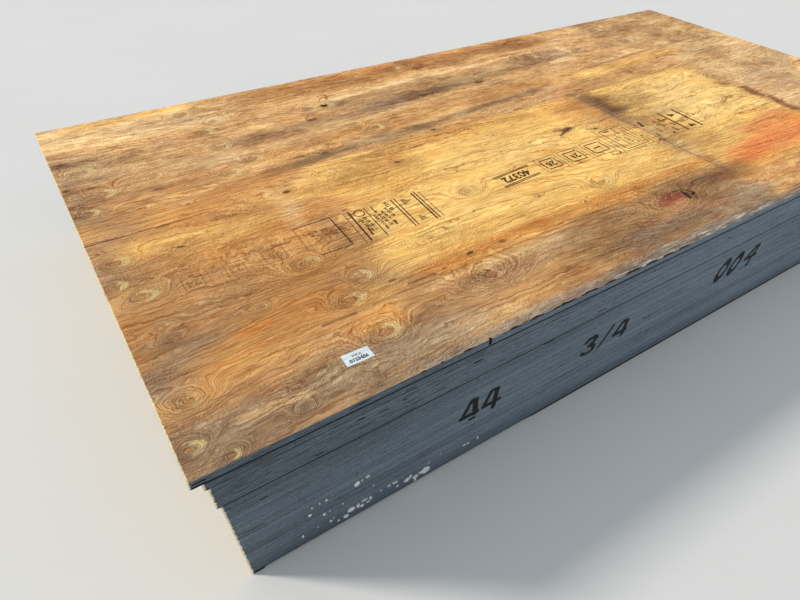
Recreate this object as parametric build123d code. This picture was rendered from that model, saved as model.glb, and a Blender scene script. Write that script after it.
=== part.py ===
# A part-used unit of softwood construction plywood, lying flat: full 4 ft by 8 ft sheets, one solid each.
# +X runs along the 8 ft length and the face grain, +Y across the width, away from the marked long edge, +Z up.
# The origin is on the floor, at the middle of the stack's outline seen from above. All sizes are millimetres.
import os

from build123d import *

# One sheet
sheet_length = 2438.4  # 8 ft
sheet_width = 1219.2  # 4 ft
sheet_thickness = 18.26  # 23/32 in, sold as 3/4 in
ply_count = 7
arris_wear = 0.5  # flat worn on each edge by handling

# The stack
sheet_count = 18
middle_sheets = 3  # the sheets just under the second one, which have slid with each other

# How far a sheet's left end stands in from the top sheet's left end
second_sheet_inset = 17.8
middle_sheets_inset = 23.3
middle_sheets_lean = 1.15  # further in for each sheet down
lower_sheets_inset = 33.0
lower_sheets_lean = 1.39

# How far a sheet's long near edge stands back from the top sheet's
middle_sheets_setback = 1.0  # the second sheet lies in line with them
lower_sheets_setback = 2.5

# Gaps between the pieces of a cross ply, open on the long near edge
void_depth = 30.0
edge_voids = {
    # levels down from the top sheet: (middle from the sheet's left end, ply down from its upper face, length)
    0: [(14, 4, 22), (14, 6, 22)],
    2: [(248, 4, 14), (332, 6, 9), (487, 4, 20), (1222, 4, 16)],
    4: [(169, 4, 15), (811, 2, 22)],
    5: [(662, 2, 30)],
    6: [(62, 6, 12)],
    10: [(30, 4, 35), (985, 2, 25), (1365, 4, 50)],
    13: [(1006, 2, 18)],
}

# Chips out of the face ply along the top sheet's near arris: (start from its left end, length, depth from the edge)
arris_chips = [
    (382, 13, 2.5),
    (423, 8, 2.5),
    (470, 25, 4),
    (572, 28, 3.5),
    (620, 37, 4),
    (677, 63, 4.5),
    (750, 50, 5),
    (815, 35, 4),
    (875, 50, 5),
    (935, 40, 4),
    (987, 36, 4.5),
    (1040, 34, 4),
]

# A notch knocked out of the same arris
notch_from_left = 530.0
notch_width = 8.0
notch_depth = 5.0
notch_height = 14.0

# Openings through the top face ply: (middle from the left end, from the near edge, length, width, turn in degrees)
face_openings = [
    (1243, 135, 44, 12, 75),  # the loose side of a large knot
    (1263, 130, 20, 8, 20),  # and its tip
    (738, 1006, 20, 17, 0),  # a knot that has fallen out
    (1492, 724.5, 54, 4, -5),  # a torn slit
]

# Drying splits in the top face, open at the sheet's ends
left_split_length = 355.0
left_split_from_near_edge = 630.0
right_split_length = 170.0
right_split_from_near_edge = 524.0
split_mouth = 2.4

# The plies broken away under the bottom sheet's near edge
torn_start = 23.0  # from the sheet's left end, so that a corner of the ply is left
torn_length = 640.0
torn_depth = 16.0
torn_plies = 2
torn_corner_slant = 3.0  # how far the near end of the break slants

ply_thickness = sheet_thickness / ply_count
overcut = 2.0  # how far a cutter stands out of the face that it opens
levels = range(sheet_count)


def inset(level):
    """How far a sheet's left end stands in, where level 0 is the top sheet."""
    first_lower = 2 + middle_sheets
    if level == 0:
        return 0.0
    if level == 1:
        return second_sheet_inset
    if level < first_lower:
        return middle_sheets_inset + (level - 2) * middle_sheets_lean
    return lower_sheets_inset + (level - first_lower) * lower_sheets_lean


def setback(level):
    if level == 0:
        return 0.0
    if level < 2 + middle_sheets:
        return middle_sheets_setback
    return lower_sheets_setback


def plain_sheet():
    """A sheet with worn arrises. Its own origin is the near left corner of its underside."""
    block = Box(sheet_length, sheet_width, sheet_thickness, align=Align.MIN)
    return chamfer(block.edges(), arris_wear)


def edge_void(middle, ply, length):
    """A round-ended slot into the near edge, as high as the ply that has the gap."""
    height = sheet_thickness - (ply - 0.5) * ply_thickness
    slot = extrude(Plane.XZ * SlotOverall(length, ply_thickness), void_depth + overcut)
    return Pos(middle, void_depth, height) * slot


def arris_chip(start, length, depth):
    """The segment of a circle, open on the near edge and one ply deep."""
    radius = (length**2 / 4 + depth**2) / (2 * depth)
    disc = Cylinder(radius, ply_thickness + overcut, align=(Align.CENTER, Align.CENTER, Align.MIN))
    return Pos(start + length / 2, depth - radius, sheet_thickness - ply_thickness) * disc


def face_pocket(outline):
    """An opening of the given outline through the upper face ply."""
    return Pos(0, 0, sheet_thickness - ply_thickness) * extrude(outline, ply_thickness + overcut)


def split(length):
    """A long thin wedge: its mouth is at X = 0 and its tip at X = length."""
    return Polygon(
        (-overcut, -split_mouth / 2),
        (length, 0),
        (-overcut, split_mouth / 2),
        align=None,
    )


def weathered_top(sheet):
    """The top sheet's damage."""
    for chip in arris_chips:
        sheet -= arris_chip(*chip)
    notch = Box(
        notch_width,
        notch_depth + overcut,
        notch_height + overcut,
        align=(Align.CENTER, Align.MAX, Align.MIN),
    )
    sheet -= Pos(notch_from_left, notch_depth, sheet_thickness - notch_height) * notch
    for middle, from_near_edge, length, width, turn in face_openings:
        opening = Pos(middle, from_near_edge) * Rot(Z=turn) * Ellipse(length / 2, width / 2)
        sheet -= face_pocket(opening)
    left_split = Pos(0, left_split_from_near_edge) * split(left_split_length)
    right_split = Pos(sheet_length, right_split_from_near_edge) * Rot(Z=180) * split(right_split_length)
    for outline in (left_split, right_split):
        sheet -= face_pocket(outline)
    return sheet


def torn_bottom(sheet):
    """The bottom sheet, with its lowest plies torn off behind the near left corner."""
    height = torn_plies * ply_thickness
    torn_end = torn_start + torn_length
    corner = (torn_start + torn_corner_slant, 0.5 * torn_depth)
    inner_line = Spline(
        corner,
        (torn_start + 0.08 * torn_length, torn_depth),
        (torn_start + 0.25 * torn_length, 0.75 * torn_depth),
        (torn_start + 0.45 * torn_length, torn_depth),
        (torn_start + 0.7 * torn_length, 0.55 * torn_depth),
        (torn_end, 0),
    )
    outer_line = Polyline(
        (torn_end, 0),
        (torn_end, -overcut),
        (torn_start, -overcut),
        (torn_start, 0),
        corner,
    )
    outline = make_face(inner_line + outer_line)
    return sheet - Pos(0, 0, -overcut) * extrude(outline, height + overcut)


stack_length = sheet_length + max(inset(level) for level in levels)
stack_width = sheet_width + max(setback(level) for level in levels)

os.makedirs("parts", exist_ok=True)
for level in levels:
    sheet = plain_sheet()
    for void in edge_voids.get(level, []):
        sheet -= edge_void(*void)
    if level == 0:
        sheet = weathered_top(sheet)
    if level == sheet_count - 1:
        sheet = torn_bottom(sheet)
    left = inset(level) - stack_length / 2
    near = setback(level) - stack_width / 2
    number = sheet_count - level
    height = (number - 1) * sheet_thickness
    export_step(Pos(left, near, height) * sheet, f"parts/sheet_{number:02d}.step")
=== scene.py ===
import math
from functools import reduce

import bpy
import numpy as np
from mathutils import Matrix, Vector, noise


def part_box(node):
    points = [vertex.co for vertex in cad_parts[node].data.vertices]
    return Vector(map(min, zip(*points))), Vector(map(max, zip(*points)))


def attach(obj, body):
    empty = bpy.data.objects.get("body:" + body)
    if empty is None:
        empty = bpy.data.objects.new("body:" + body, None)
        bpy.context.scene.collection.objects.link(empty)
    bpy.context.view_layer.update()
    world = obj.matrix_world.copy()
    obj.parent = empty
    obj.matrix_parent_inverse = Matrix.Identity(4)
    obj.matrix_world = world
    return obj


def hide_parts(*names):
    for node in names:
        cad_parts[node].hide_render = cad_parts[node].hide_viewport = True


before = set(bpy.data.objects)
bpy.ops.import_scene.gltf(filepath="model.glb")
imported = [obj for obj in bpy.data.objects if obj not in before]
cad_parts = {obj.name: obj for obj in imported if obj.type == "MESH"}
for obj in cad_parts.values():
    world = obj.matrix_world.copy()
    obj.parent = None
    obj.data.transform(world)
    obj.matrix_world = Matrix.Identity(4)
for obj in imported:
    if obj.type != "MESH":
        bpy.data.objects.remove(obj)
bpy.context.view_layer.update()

mm = 0.001
toMm = 1000.0
sheetNames = sorted(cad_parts)
sheetCount = len(sheetNames)
topName = sheetNames[-1]
topLow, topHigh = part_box(topName)
sheetThickness = 0.01826
plyCount = 7
plyThickness = sheetThickness / plyCount

# where the measured marks start: the near left corner of the top sheet's upper face
cornerX, cornerY, topZ = topLow.x, topLow.y, topHigh.z


# Working by hand: what is selected, edit mode, and a mesh's own values

def choose(*pieces):
    # only these are selected, and the first is active
    if bpy.context.object and bpy.context.object.mode != "OBJECT":
        editing(False)
    bpy.ops.object.select_all(action="DESELECT")
    for piece in pieces:
        piece.select_set(True)
    if pieces:
        bpy.context.view_layer.objects.active = pieces[0]


def editing(on=True):
    bpy.ops.object.mode_set(mode="EDIT" if on else "OBJECT")


def selectMesh(on=True):
    bpy.ops.mesh.select_all(action="SELECT" if on else "DESELECT")


def extrudeUp(rise):
    bpy.ops.mesh.extrude_region_move(TRANSFORM_OT_translate={"value": (0, 0, rise)})


def closeShape():
    # the last step in edit mode: every face points outwards
    selectMesh()
    bpy.ops.mesh.normals_make_consistent(inside=False)
    editing(False)


def settle(piece, name):
    # the object goes to the origin, with its place in its mesh
    choose(piece)
    bpy.ops.object.transform_apply(location=True, rotation=True, scale=True)
    piece.name = name
    piece.data.name = name


def applyModifier(piece, kind, **settings):
    choose(piece)
    modifier = piece.modifiers.new(kind.lower(), kind)
    for key, value in settings.items():
        setattr(modifier, key, value)
    bpy.ops.object.modifier_apply(modifier=modifier.name)


def readAll(items, key, kind=np.float32, width=3):
    values = np.zeros(len(items) * width, kind)
    items.foreach_get(key, values)
    return values.reshape(-1, width)


def pointPlaces(piece):
    return readAll(piece.data.vertices, "co").astype(float)


def placesInBox(piece):
    places = pointPlaces(piece)
    return places, places.min(0), places.max(0)


def spotsOnFace(piece):
    # each point's place on the face, in mm along and away from the near edge
    places = pointPlaces(piece)
    return (places[:, 0] - cornerX) / mm, (places[:, 1] - cornerY) / mm


def fromRim(places, low, high):
    # how far in from the nearest side
    inward = np.minimum(places - low, high - places)
    return np.minimum(inward[:, 0], inward[:, 1])


def keepLayer(piece, name, kind, values):
    key = {"FLOAT_COLOR": "color", "FLOAT_VECTOR": "vector", "FLOAT": "value"}[kind]
    piece.data.attributes.new(name, kind, "POINT").data.foreach_set(key, values.astype(np.float32).ravel())


def smoothstep(value, low, high):
    share = np.clip((value - low) / (high - low), 0, 1)
    return share * share * (3 - 2 * share)


def wave(*point):
    return noise.noise(Vector(point))


def turned(*angles):
    return [math.radians(angle) for angle in angles]


def tone(red, green, blue):
    # an sRGB colour of 0 to 255 as Blender's linear one
    def linear(channel):
        share = channel / 255
        return share / 12.92 if share <= 0.04045 else ((share + 0.055) / 1.055) ** 2.4
    return (linear(red), linear(green), linear(blue), 1.0)


# Materials: a socket that Python's own signs work on, and the nodes behind it

def sign(operation, reflected=False):
    def act(self, other):
        return self.nodes.maths(operation, *((other, self) if reflected else (self, other)))
    return act


class Wire:
    def __init__(self, nodes, socket):
        self.nodes = nodes
        self.socket = socket

    __add__ = __radd__ = sign("ADD")
    __sub__, __rsub__ = sign("SUBTRACT"), sign("SUBTRACT", reflected=True)
    __mul__ = __rmul__ = sign("MULTIPLY")
    __truediv__ = sign("DIVIDE")

    def swing(self, width):
        # how far a noise is from its middle
        return (self - 0.5) * width


class NodeSet:
    def __init__(self, holder):
        holder.use_nodes = True
        self.holder = holder
        self.tree = holder.node_tree

    def node(self, kind, settings=None, sockets=None, out=0):
        made = self.tree.nodes.new("ShaderNode" + kind)
        for key, value in (settings or {}).items():
            setattr(made, key, value)
        for key, value in (sockets or {}).items():
            self.join(made.inputs[key], value)
        return Wire(self, made.outputs[out])

    def join(self, socket, value):
        if isinstance(value, Wire):
            self.tree.links.new(value.socket, socket)
        else:
            socket.default_value = value

    def maths(self, operation, *values):
        return self.node("Math", {"operation": operation}, dict(enumerate(values)))


class Finish(NodeSet):
    def __init__(self, name, paints=None):
        super().__init__(bpy.data.materials.new(name))
        self.shader = self.tree.nodes["Principled BSDF"]
        self.place = self.node("TexCoord", out="Object")
        self.paints = {key: tone(*shade) for key, shade in (paints or {}).items()}
        self.colour = None

    def vector(self, operation, first, second, out=0):
        return self.node("VectorMath", {"operation": operation}, {0: first, 1: second}, out)

    def length(self, vector):
        return self.vector("LENGTH", vector, (0, 0, 0), out=1)

    def point(self, *values):
        return self.node("CombineXYZ", None, dict(enumerate(values)))

    def parts(self, vector):
        split = self.tree.nodes.new("ShaderNodeSeparateXYZ")
        self.join(split.inputs[0], vector)
        return [Wire(self, socket) for socket in split.outputs]

    def painted(self, name, out):
        return self.node("Attribute", {"attribute_name": name}, out=out)

    def least(self, *values):
        return reduce(lambda first, second: self.maths("MINIMUM", first, second), values)

    def most(self, *values):
        return reduce(lambda first, second: self.maths("MAXIMUM", first, second), values)

    def fade(self, value, low, high):
        # 0 up to low and 1 from high on; the other way round if low is the greater
        return self.node("MapRange", {"interpolation_type": "SMOOTHSTEP"}, {0: value, 1: low, 2: high})

    def hump(self, value, start, top, topEnd, end):
        return self.fade(value, start, top) * self.fade(value, end, topEnd)

    def bell(self, distance, steepness):
        return self.maths("EXPONENT", distance * distance * -steepness)

    def grain(self, stretch, detail=2.0, rough=0.5, distortion=0.0, of=None):
        # noise whose features are about 1/stretch metres long on each axis; a flat one has no third
        stretched = self.vector("MULTIPLY", of or self.place, (*stretch, 1.0)[:3])
        sockets = {"Vector": stretched, "Scale": 1.0, "Detail": detail, "Roughness": rough, "Distortion": distortion}
        return self.node("TexNoise", {"noise_dimensions": "3D"}, sockets)

    def eachTone(self, value):
        # a random share for each whole number
        return self.node("TexWhiteNoise", {"noise_dimensions": "1D"}, {"W": self.maths("FLOOR", value)})

    def seam(self, value, low, high):
        # a line wherever the value is a whole number
        return self.fade(self.maths("PINGPONG", self.maths("FRACT", value), 0.5), high, low)

    def crossPly(self, z):
        return self.maths("GREATER_THAN", self.maths("MODULO", z / plyThickness, 2.0), 1.0)

    def strokeGap(self, flat, x0, y0, x1, y1):
        # how far from the middle line of a straight stroke
        length = math.hypot(x1 - x0, y1 - y0)
        ahead = ((x1 - x0) / length, (y1 - y0) / length, 0)
        away = self.vector("SUBTRACT", flat, (x0, y0, 0))
        onward = self.least(self.most(self.vector("DOT_PRODUCT", away, ahead, out=1), 0.0), length)
        nearest = self.node("VectorMath", {"operation": "SCALE"}, {0: ahead, "Scale": onward})
        return self.vector("DISTANCE", away, nearest, out=1)

    def ovalGap(self, flat, middle, halves):
        # how far out from an oval's outline, less than 0 inside it
        outward = self.vector("DIVIDE", self.vector("SUBTRACT", flat, (*middle, 0)), (*halves, 1))
        return (self.length(outward) - 1.0) * min(halves)

    def blend(self, first, second, share):
        first, second = self.paints.get(first, first), self.paints.get(second, second)
        return self.node("Mix", {"data_type": "RGBA"}, {0: share, 6: first, 7: second}, out=2)

    def coat(self, paint, share):
        self.colour = self.blend(self.colour, paint, share)

    def times(self, tint, share=None):
        # the colour multiplied by a tint, all over or by a share
        stained = self.vector("MULTIPLY", self.colour, tint)
        self.colour = stained if share is None else self.blend(self.colour, stained, share)

    def surface(self, roughness, bump=None, depth=0.0003, specular=0.5):
        self.join(self.shader.inputs["Base Color"], self.colour)
        self.join(self.shader.inputs["Roughness"], roughness)
        self.shader.inputs["Specular IOR Level"].default_value = specular
        if bump is not None:
            raised = self.node("Bump", None, {"Strength": 1.0, "Distance": depth, "Height": bump})
            self.join(self.shader.inputs["Normal"], raised)
        return self.holder


# Camera, light and floor

cameraView = {
    "place": (-1.26904, -1.13355, 1.05288),
    "turn": (49.183, -1.663, -33.228),
    "lens": 27.116,
    "sensor": 36,
}
studio = {
    "keyPower": 2.75,
    "keyTurn": (60, 0, 234),  # tilt from straight down, then the compass turn
    "keySoftness": 9,
    "keyColour": (1.0, 0.955, 0.88),
    "skyColour": (0.88, 0.94, 1.0, 1),
    "skyPower": 0.55,
    "backdrop": (0.76, 0.77, 0.78, 1),
    "floorRadius": 14,
    "floorTones": {"darker": (224, 224, 222), "paler": (230, 230, 229)},
    "floorRoughness": 0.9,
}

bpy.ops.object.camera_add(location=cameraView["place"], rotation=turned(*cameraView["turn"]))
camera = bpy.context.object
camera.data.lens = cameraView["lens"]
camera.data.sensor_width = cameraView["sensor"]
bpy.context.scene.camera = camera

bpy.ops.object.light_add(type="SUN", rotation=turned(*studio["keyTurn"]))
keyLight = bpy.context.object
keyLight.data.energy = studio["keyPower"]
keyLight.data.angle = math.radians(studio["keySoftness"])
keyLight.data.color = studio["keyColour"]

sky = NodeSet(bpy.data.worlds.new("studio"))
bpy.context.scene.world = sky.holder
skyLight = sky.tree.nodes["Background"]
skyLight.inputs["Color"].default_value = studio["skyColour"]
skyLight.inputs["Strength"].default_value = studio["skyPower"]
backdrop = sky.node("Background", None, {"Color": studio["backdrop"]})
# the backdrop is only what the camera sees, straight or in something glossy or clear
direct, glossy, clear = [sky.node("LightPath", out=f"Is {ray} Ray") for ray in ("Camera", "Glossy", "Transmission")]
either = sky.node("MixShader", None, {0: direct + glossy + clear, 1: Wire(sky, skyLight.outputs[0]), 2: backdrop})
sky.join(sky.tree.nodes["World Output"].inputs["Surface"], either)
bpy.context.scene.view_settings.view_transform = "Standard"

floorFinish = Finish("paleFloor", studio["floorTones"])
floorFinish.colour = floorFinish.blend("darker", "paler", floorFinish.grain((1.5, 1.5, 1.5), 3))
choose()
bpy.ops.mesh.primitive_circle_add(vertices=64, radius=studio["floorRadius"], fill_type="NGON")
floor = bpy.context.object
floor.name = "floor"
floor.data.materials.append(floorFinish.surface(studio["floorRoughness"]))
print("camera, light and floor are made")


# The grey paint on the stack's long sides and right end, with its stencils and spatter

edgePaint = {
    "coatPale": (146, 160, 171),
    "coatDark": (86, 98, 108),
    "wood": (150, 118, 84),
    "dirt": (20, 21, 23),
    # painted shade: near black, for the shadow in open joints, inside chips out of the arris and under the torn
    # bottom plies
    "gap": (6, 6, 7),
    # partly bare wood, partly a painted highlight for the sunlit left end
    "bareAndHighlight": (255, 246, 208),
    "stencil": (17, 19, 22),
    "spatter": (255, 255, 255),
}
openJoints = (1, 5)  # the sheets, by level down from the top one, whose upper rims are knocked back

# each stroke: two ends in mm from the top sheet's near left corner, along and down, and its width
stencilStrokes = [
    (511, 157, 492, 199, 10), (513, 156, 524, 157, 10), (521, 160, 525, 200, 14), (490, 198, 530, 198, 11),
    (514, 213, 524, 213, 8), (560, 158, 545, 195, 10), (562, 157, 573, 157, 10), (575, 159, 572, 211, 13),
    (544, 195, 586, 195, 10), (820, 164, 828, 157, 11), (828, 157, 843, 156, 11), (843, 156, 851, 162, 12),
    (851, 162, 845, 171, 12), (845, 171, 837, 176, 11), (837, 176, 850, 187, 12), (850, 187, 848, 198, 12),
    (848, 198, 837, 203, 12), (837, 203, 824, 201, 11), (824, 201, 816, 196, 11), (832, 179, 833, 179, 10),
    (901, 151, 861, 217, 8), (932, 157, 913, 188, 10), (934, 156, 946, 157, 10), (947, 159, 943, 203, 13),
    (912, 188, 952, 188, 10), (1416, 133, 1388, 163, 11), (1418, 133, 1430, 134, 11), (1429, 136, 1409, 187, 12),
    (1388, 164, 1432, 163, 11),
]
# each ring: middle, half width, half height, stroke and slant
stencilRings = [(1292, 160, 16, 25, 12, 0.3), (1345, 160, 16, 25, 12, 0.3)]
# each drop: middle along and down, half width, half height
spatterDrops = [
    (167, 239, 4, 4.5), (261, 221, 7, 8), (272, 219, 2.5, 6), (283, 216, 5.5, 4.5), (172, 220, 2, 3),
    (187, 219, 2, 5), (200, 219, 2.5, 5), (212, 217, 1.5, 3), (194, 261, 4, 4), (204, 260, 2, 3), (231, 259, 2, 4),
    (295, 255, 2.2, 5), (149, 295, 2.5, 6), (179, 291, 1.5, 5), (205, 295, 3.2, 6), (211, 290, 2, 5),
    (220, 307, 3, 6), (247, 294, 9, 8), (236, 307, 6, 7), (262, 294, 4, 10), (270, 301, 5, 6), (275, 287, 8, 4),
    (283, 299, 5, 4), (289, 290, 3.5, 8), (312, 287, 2.5, 4), (330, 286, 4, 5), (343, 286, 7, 4.5),
    (349, 302, 3, 6), (360, 282, 2, 3), (371, 300, 8, 7), (379, 294, 4, 6), (391, 305, 8, 6), (391, 314, 3, 9),
    (415, 302, 11, 11), (404, 301, 6, 5), (422, 282, 1.5, 6), (450, 272, 1.5, 7), (511, 291, 5, 4),
    (520, 291, 4, 4), (545, 290, 3, 6),
]


def paintedEdge(name, withStencil, withSpatter):
    finish = Finish(name, edgePaint)
    grain, fade, coat = finish.grain, finish.fade, finish.coat
    x, y, z = finish.parts(finish.place)
    along, down = (x - cornerX) * toMm, (topZ - z) * toMm
    inSheets, inPlies = z / sheetThickness, z / plyThickness
    crossPly = finish.crossPly(z)
    jointDirt = finish.seam(inSheets, 0.015, 0.04)
    gluelines = finish.seam(inPlies, 0.04, 0.2) * (0.3 + finish.eachTone(inPlies + 0.5) * 0.9)
    broad = grain((2.2, 2.2, 9), 3)
    streaks = grain((6, 6, 760), 3, 0.65)
    pores = grain((420, 420, 900), 2, 0.6)
    dashes = grain((20, 20, 520), 2, 0.55)
    scuffs = grain((60, 60, 230), 3, 0.6)
    grit = grain((140, 140, 480), 2, 0.6)
    ragged = grain((120, 120, 330), 3, 0.65)

    paler = broad.swing(0.8) + streaks.swing(1.9) + finish.eachTone(inSheets).swing(0.3) + grit.swing(1.3)
    finish.colour = finish.blend("coatDark", "coatPale", 0.5 + paler)
    coat("coatDark", crossPly * (0.25 + pores.swing(2.0)))
    coat("wood", fade(scuffs + streaks * 0.4, 0.93, 1.02) * 0.28)
    upperLeft = fade(down, 105, 75) * fade(along, 1200, 500)
    thinLines = fade(dashes, 0.62 - upperLeft * 0.05, 0.7 - upperLeft * 0.05)
    coat("dirt", finish.most(thinLines * (0.6 + upperLeft * 0.2), gluelines * (0.45 + upperLeft * 0.4)))
    coat("dirt", jointDirt * (0.2 + broad * 0.6))
    # painted shade: a near-black line along each open joint, for the shadow in its gap
    for level in openJoints:
        joint = finish.maths("ABSOLUTE", z - (sheetCount - level) * sheetThickness)
        coat("gap", fade(joint, 0.0032, 0.0016))
    # the lowest sheet is darker towards the bottom; painted shade: its lowest few mm are painted black for the shadow
    # under its torn plies
    coat("coatDark", fade(z, 0.03, 0.004))
    coat("gap", fade(z, 0.0078, 0.0052))

    # marks are only on the long near side, whose faces look along -Y
    nearSide = fade(y, cornerY + 0.02, cornerY + 0.01)
    # painted shade: the upper ply is painted black where chips are out of the arris, for the shadow inside them
    chipShade = fade(grain((34, 34, 300), 2, 0.6), 0.5, 0.56) * nearSide * finish.hump(along, 380, 480, 1060, 1110)
    coat("gap", chipShade * fade(down, 5, 2.5) * 0.9)
    flat = finish.point(along, down)
    if withStencil:
        gaps = [finish.strokeGap(flat, *ends) - width / 2 for *ends, width in stencilStrokes]
        for midX, midZ, halfWidth, halfHeight, width, slant in stencilRings:
            slanted = finish.point(along + (down - midZ) * slant, down)
            ring = finish.ovalGap(slanted, (midX, midZ), (halfWidth, halfHeight))
            gaps.append(finish.maths("ABSOLUTE", ring) - width / 2)
        ink = fade(finish.least(*gaps) + ragged.swing(3.0), 0.9, -0.9) * fade(ragged, 0.22, 0.36) * nearSide
        fadedFoot = 1 - fade(down, 194, 214) * fade(along, 700, 900)
        coat("stencil", ink * (0.35 + fadedFoot * 0.65) * 0.96)
    if withSpatter:
        gaps = [finish.ovalGap(flat, (midX, midZ + 3), halves) for midX, midZ, *halves in spatterDrops]
        drops = fade(finish.least(*gaps) + ragged.swing(7.0) + 0.8, 0.5, -0.5) * nearSide
        coat("spatter", drops * (1 - jointDirt * 0.8) * (1 - thinLines * 0.5) * (1 - gluelines * 0.6))
    # the near side is a little darker to its left and at its top
    shade = 0.885 + fade(along, -60, 1300) * 0.25 - fade(along, 1000, 100) * fade(down, 150, 60) * 0.19
    finish.times(finish.point(shade, shade, shade))
    # and pale where its left corner is worn: partly bare wood, partly a painted highlight that stands in for the
    # sunlit left end
    fromLeft = finish.painted("fromLeft", "Fac") * toMm
    coat("bareAndHighlight", fade(fromLeft + ragged.swing(7.0), 3.0, 1.6) * (1 - gluelines * 0.5))
    relief = streaks * 0.5 + pores * (0.2 + crossPly * 0.5) - gluelines * 0.4 - thinLines * 0.5
    return finish.surface(0.78 + pores.swing(0.2), relief, 0.0004, specular=0.3)


# Bare veneer, on the faces between the sheets, at the left ends and where plies are torn

bareVeneer = {
    "early": (205, 172, 128),
    "late": (164, 120, 76),
    "grey": (150, 138, 122),
    "tornLight": (128, 96, 66),
    "tornDark": (34, 27, 23),
    "endPale": (238, 224, 184),
    "endMiddle": (206, 182, 138),
    "endDark": (170, 136, 92),
    "glue": (96, 64, 40),
    # painted shade, as on the edges: near black where the bottom is in shadow
    "gap": edgePaint["gap"],
}


def plainVeneer():
    finish = Finish("plainVeneer", bareVeneer)
    y = finish.parts(finish.place)[1]
    swirl = finish.grain((0.9, 4.2, 60), 3, 0.45)
    late = finish.hump(finish.maths("FRACT", swirl * 26.0 + y * 9.0), 0.35, 0.9, 0.92, 1.0)
    fibres = finish.grain((14, 520, 520), 3, 0.6)
    finish.colour = finish.blend("early", "late", late * 0.6 + fibres.swing(0.8))
    finish.coat("grey", 0.3 + swirl.swing(0.5))
    return finish.surface(0.8 + fibres.swing(0.2), fibres + late * 0.3, 0.0004)


def bareEnd():
    # the left ends: unpainted, with the plies showing as stripes
    finish = Finish("bareEnd", bareVeneer)
    z = finish.parts(finish.place)[2]
    crossPly = finish.crossPly(z)
    glueline = finish.seam(z / plyThickness, 0.03, 0.12)
    joint = finish.seam(z / sheetThickness, 0.02, 0.05)
    pores = finish.grain((600, 600, 900), 2, 0.6)
    fibres = finish.grain((40, 16, 900), 3, 0.6)
    stains = finish.grain((4, 4, 14), 3, 0.6)
    grainEnd = finish.blend("endDark", "endPale", 0.3 + pores.swing(1.4) + stains.swing(0.8))
    grainSide = finish.blend("endMiddle", "endPale", 0.75 + fibres.swing(1.6) + stains.swing(0.7))
    finish.colour = finish.blend(grainEnd, grainSide, crossPly)
    finish.coat("endDark", finish.eachTone(z / sheetThickness) * 0.3)
    finish.coat("grey", finish.fade(stains, 0.5, 0.75) * 0.4)
    finish.coat("glue", glueline * 0.7)
    finish.coat("tornDark", joint * 0.85)
    relief = pores * 0.6 + fibres * 0.6 - glueline * 0.4 - joint - (1 - crossPly) * 0.3
    return finish.surface(0.8 + pores.swing(0.2), relief, 0.0006, specular=0.2)


def tornVeneer():
    finish = Finish("tornVeneer", bareVeneer)
    fibres = finish.grain((60, 420, 420), 4, 0.65)
    finish.colour = finish.blend("tornDark", "tornLight", finish.fade(fibres, 0.42, 0.75))
    # painted shade: near black below about 8 mm, for the shadow under the torn plies
    finish.coat("gap", finish.fade(finish.parts(finish.place)[2], 0.008, 0.0056))
    return finish.surface(0.9, fibres, 0.0012)


# The weathered face of the top sheet. All its lists are in mm from the near left corner,
# along the sheet and away from its near edge.

# each tone, and how grey its grain has weathered
woodTones = {
    "gold": ((254, 200, 112), 0.0),
    "brightGold": ((255, 212, 132), 0.0),
    "honey": ((224, 162, 92), 0.0),
    "tan": ((226, 178, 122), 0.4),
    "paleTan": ((252, 212, 154), 0.35),
    "greyTan": ((174, 134, 94), 0.6),
    "grey": ((148, 116, 82), 1.0),
    "slate": ((148, 132, 116), 1.0),
    "brown": ((178, 122, 66), 0.3),
    "umber": ((94, 58, 36), 0.0),
    "orange": ((204, 124, 54), 0.0),
    "coral": ((238, 132, 74), 0.0),
    "rust": ((124, 62, 38), 0.0),
    "knotRed": ((150, 80, 52), 0.0),
}

# areas with straight sides: tone, from and to along, from and to away, softness, strength,
# and the softness of the left side where it has its own
toneAreas = [
    ("honey", -200, 2700, -200, 1500, 10, 1.0), ("tan", -200, 2700, 700, 1500, 60, 0.75),
    ("tan", 1990, 2700, -200, 1500, 60, 0.7), ("paleTan", 1995, 2700, -200, 900, 60, 0.6),
    ("brown", -200, 470, 195, 340, 40, 0.6), ("gold", 525, 1437, 196, 703, 15, 0.95, 60),
    ("tan", 430, 560, 340, 480, 40, 0.35), ("gold", 1445, 1965, 118, 703, 15, 0.95),
    ("brightGold", 1560, 1965, 330, 690, 50, 0.8), ("honey", 1290, 1437, 500, 703, 25, 0.75),
    ("greyTan", 440, 1437, -200, 189, 12, 0.5), ("grey", 850, 1437, -200, 189, 60, 0.6),
    ("tan", 1437, 2700, -200, 112, 30, 0.6), ("slate", 380, 2700, -200, 22, 14, 0.75),
    ("greyTan", 1900, 2700, 960, 1400, 70, 0.5), ("slate", -200, 430, -200, 112, 40, 0.4),
]

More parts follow.
